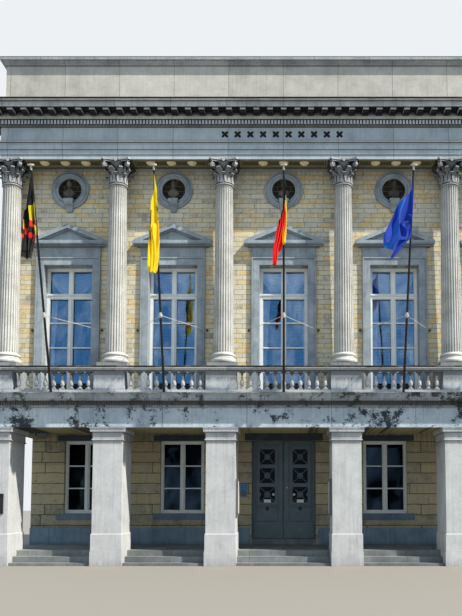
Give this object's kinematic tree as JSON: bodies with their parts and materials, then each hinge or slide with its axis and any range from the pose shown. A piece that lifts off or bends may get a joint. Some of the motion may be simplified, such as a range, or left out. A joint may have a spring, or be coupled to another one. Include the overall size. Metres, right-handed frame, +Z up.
{
  "type": "town hall building",
  "caption": "Neoclassical town hall: an arcade of square piers, a balcony with balusters, fluted Corinthian columns, tall pedimented windows, a deep cornice and a plain attic.",
  "frame": {"origin": "on the ground in the middle of the building's plan", "axes": "+X along the front, +Y from the front into the building, +Z up"},
  "size_m": [19.2, 15.8915, 16.105],
  "materials": {
    "limestone": "matte",
    "beam_stone": "matte",
    "entablature_stone": "matte",
    "blue_stone": "matte",
    "dark_stone": "matte",
    "wall_stone": "matte",
    "paving_stone": "matte",
    "cream_paint": "satin",
    "door_paint": "satin",
    "glass": "gloss",
    "zinc": "matte",
    "black_paint": "satin",
    "galvanised_steel": "satin",
    "flag_cloth": "matte",
    "board_paint": "satin",
    "letterbox_paint": "satin",
    "plaque_metal": "satin"
  },
  "bodies": {
    "building": {"pier_pedestals": "limestone", "pier_shafts": "limestone", "pier_caps": "limestone", "balustrade_plinth": "limestone", "balustrade_dies": "limestone", "balusters": "limestone", "balustrade_rail": "limestone", "column_pedestals": "limestone", "column_bases": "limestone", "column_shafts": "limestone", "column_capitals": "limestone", "gallery_beam": "beam_stone", "gallery_end_beams": "beam_stone", "balcony_slab": "beam_stone", "balcony_dentils": "beam_stone", "architrave": "entablature_stone", "frieze": "entablature_stone", "main_cornice": "entablature_stone", "cornice_dentils": "entablature_stone", "modillions": "entablature_stone", "attic": "entablature_stone", "attic_coping": "entablature_stone", "gallery_socle": "blue_stone", "gallery_window_stones": "blue_stone", "window_surrounds": "blue_stone", "window_pediments": "blue_stone", "roundels": "blue_stone", "door_threshold": "blue_stone", "busts": "dark_stone", "gallery_wall_left": "wall_stone", "gallery_wall_right": "wall_stone", "gallery_wall_over_door": "wall_stone", "upper_front_wall": "wall_stone", "ground_side_walls": "wall_stone", "upper_side_walls": "wall_stone", "ground_back_wall": "wall_stone", "upper_back_wall": "wall_stone", "gallery_platform": "paving_stone", "gallery_steps": "paving_stone", "ground_floor": "paving_stone", "upper_floor": "paving_stone", "gallery_window_frames": "cream_paint", "french_window_frames": "cream_paint", "outer_window_frames": "cream_paint", "door_frame": "door_paint", "gallery_window_glass": "glass", "french_window_glass": "glass", "outer_window_glass": "glass", "roof": "zinc", "flagpoles": "black_paint", "flagpole_stays": "galvanised_steel", "flags": "flag_cloth", "notice_boards": "board_paint", "letterbox": "letterbox_paint", "wall_plaque": "plaque_metal"},
    "left_leaf": {"door_leaf_left": "door_paint", "door_glass_left": "glass"},
    "right_leaf": {"door_leaf_right": "door_paint", "door_glass_right": "glass"}
  },
  "joints": [
    {"name": "left_leaf_hinge", "type": "hinge", "parent": "building", "child": "left_leaf", "pos_m": [-1.0825, -2.626, 2.4], "axis": [0, 0, 1], "range_deg": [0, 90]},
    {"name": "right_leaf_hinge", "type": "hinge", "parent": "building", "child": "right_leaf", "pos_m": [1.0825, -2.626, 2.4], "axis": [0, 0, -1], "range_deg": [0, 90]}
  ]
}
